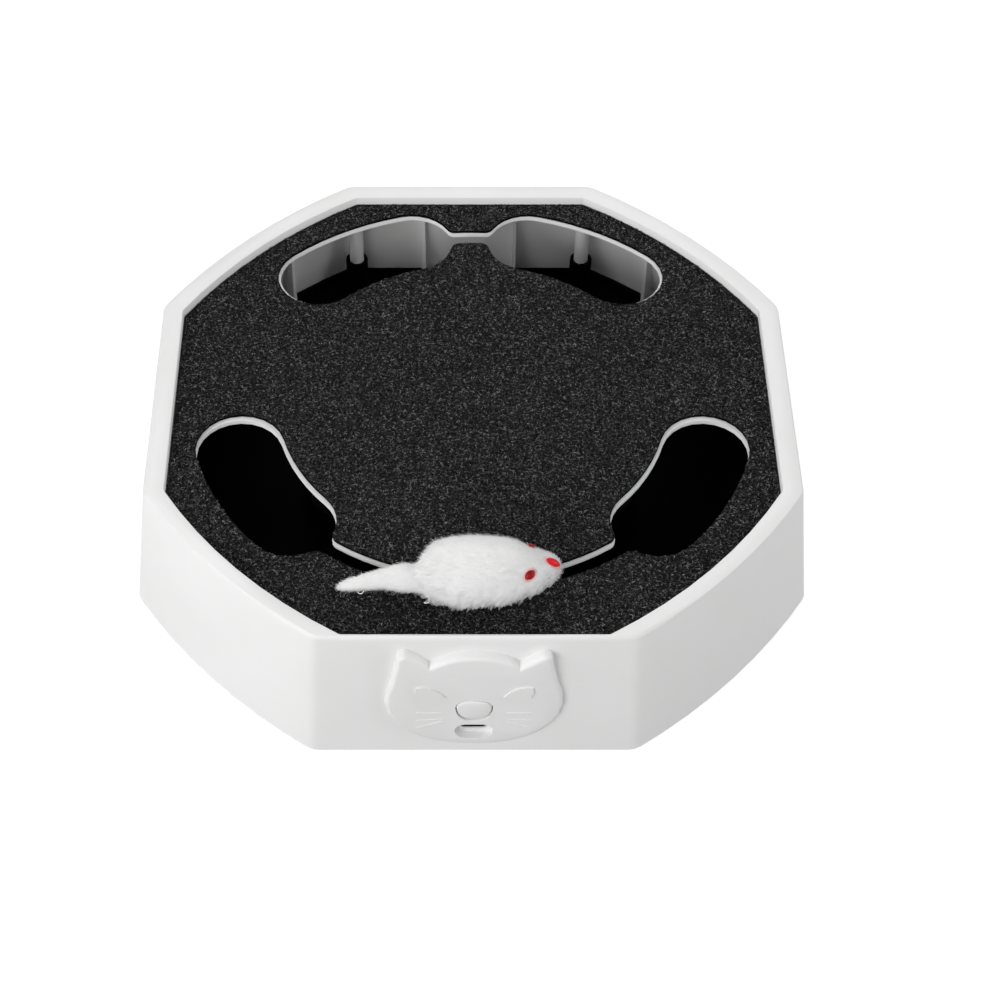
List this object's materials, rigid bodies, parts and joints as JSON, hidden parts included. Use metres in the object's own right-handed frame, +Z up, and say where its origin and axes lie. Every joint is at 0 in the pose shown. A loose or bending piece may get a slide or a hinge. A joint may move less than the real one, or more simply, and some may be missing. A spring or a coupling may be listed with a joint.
{
  "type": "robotic mouse cat toy",
  "caption": "Octagonal electric cat toy: a plush mouse on a lever runs round a slotted felt-topped box, over a motor-driven turntable with a cam ring.",
  "frame": {"origin": "on the floor, under the middle of the overall box", "axes": "+Z up, +Y to the back, -Y out of the cat-face wall, +X to the right seen from the front"},
  "size_m": [0.2484, 0.2446, 0.075],
  "materials": {
    "white_plastic": "satin moulded",
    "black_plastic": "moulded",
    "natural_nylon": "moulded",
    "charcoal_felt": "needle felt",
    "bright_steel": "bright",
    "bearing_brass": "turned",
    "foot_rubber": "moulded",
    "board_green": "solder mask",
    "battery_wrap": "shrink sleeve",
    "mouse_fur": "short plush",
    "mouse_red": "bead",
    "lead_red": "insulation"
  },
  "bodies": {
    "base": {"octagon_housing": "white_plastic", "felt_mat": "charcoal_felt", "base_pan": "black_plastic", "case_screw_1": "bright_steel", "case_screw_2": "bright_steel", "case_screw_3": "bright_steel", "case_screw_4": "bright_steel", "case_screw_5": "bright_steel", "case_screw_6": "bright_steel", "case_screw_7": "bright_steel", "case_screw_8": "bright_steel", "foot_front_left": "foot_rubber", "foot_front_right": "foot_rubber", "foot_back_left": "foot_rubber", "foot_back_right": "foot_rubber", "nose_spring": "bright_steel", "nose_switch": "black_plastic", "control_board": "board_green", "control_chip": "black_plastic", "lead_socket": "natural_nylon", "charge_port": "black_plastic", "port_tongue": "black_plastic", "battery_cell": "battery_wrap", "battery_contact": "bright_steel", "battery_lead": "lead_red", "motor_lead": "lead_red", "motor_can": "bright_steel", "motor_end_cap": "black_plastic", "gearbox": "natural_nylon", "cam_ring": "black_plastic", "spindle": "bright_steel", "spindle_clip": "bright_steel"},
    "turntable": {"turntable": "black_plastic", "turntable_gear": "natural_nylon", "spindle_bush": "bearing_brass", "lever_pin": "bright_steel", "lever_spring": "bright_steel"},
    "lever": {"mouse_lever": "black_plastic", "roller_pin": "bright_steel", "mouse_stem": "bright_steel", "mouse_body": "mouse_fur", "mouse_head": "mouse_fur", "mouse_tail": "mouse_fur", "mouse_eye_left": "mouse_red", "mouse_eye_right": "mouse_red", "mouse_nose": "mouse_red"},
    "roller": {"cam_roller": "natural_nylon"},
    "drive": {"drive_shaft": "bright_steel", "drive_pinion": "natural_nylon"},
    "nose": {"nose_button": "white_plastic"}
  },
  "joints": [
    {"name": "turntable_spin", "type": "hinge", "parent": "base", "child": "turntable", "pos_m": [0, 0.00075, 0.0273], "axis": [0, 0, 1], "range_deg": [-80, 80]},
    {"name": "lever_lift", "type": "hinge", "parent": "turntable", "child": "lever", "pos_m": [0, -0.03425, 0.036], "axis": [-1, 0, 0], "range_deg": [0, 5], "stiffness_Nm_per_rad": 0.02, "springref_deg": -20.05},
    {"name": "roller_spin", "type": "hinge", "parent": "lever", "child": "roller", "pos_m": [0, -0.05925, 0.0307], "axis": [0, 1, 0], "range_deg": [-1068, 1068]},
    {"name": "pinion_spin", "type": "hinge", "parent": "base", "child": "drive", "pos_m": [0, 0.03075, 0.0232], "axis": [0, 0, 1], "range_deg": [-321, 321]},
    {"name": "nose_press", "type": "slide", "parent": "base", "child": "nose", "axis": [0, 1, 0], "range_m": [0, 0.0012], "stiffness_N_per_m": 300, "deforming": ["nose_spring"]}
  ],
  "couplings": [
    {"joint": "roller_spin", "follows": "turntable_spin", "ratio": 13.333},
    {"joint": "pinion_spin", "follows": "turntable_spin", "ratio": -4}
  ]
}
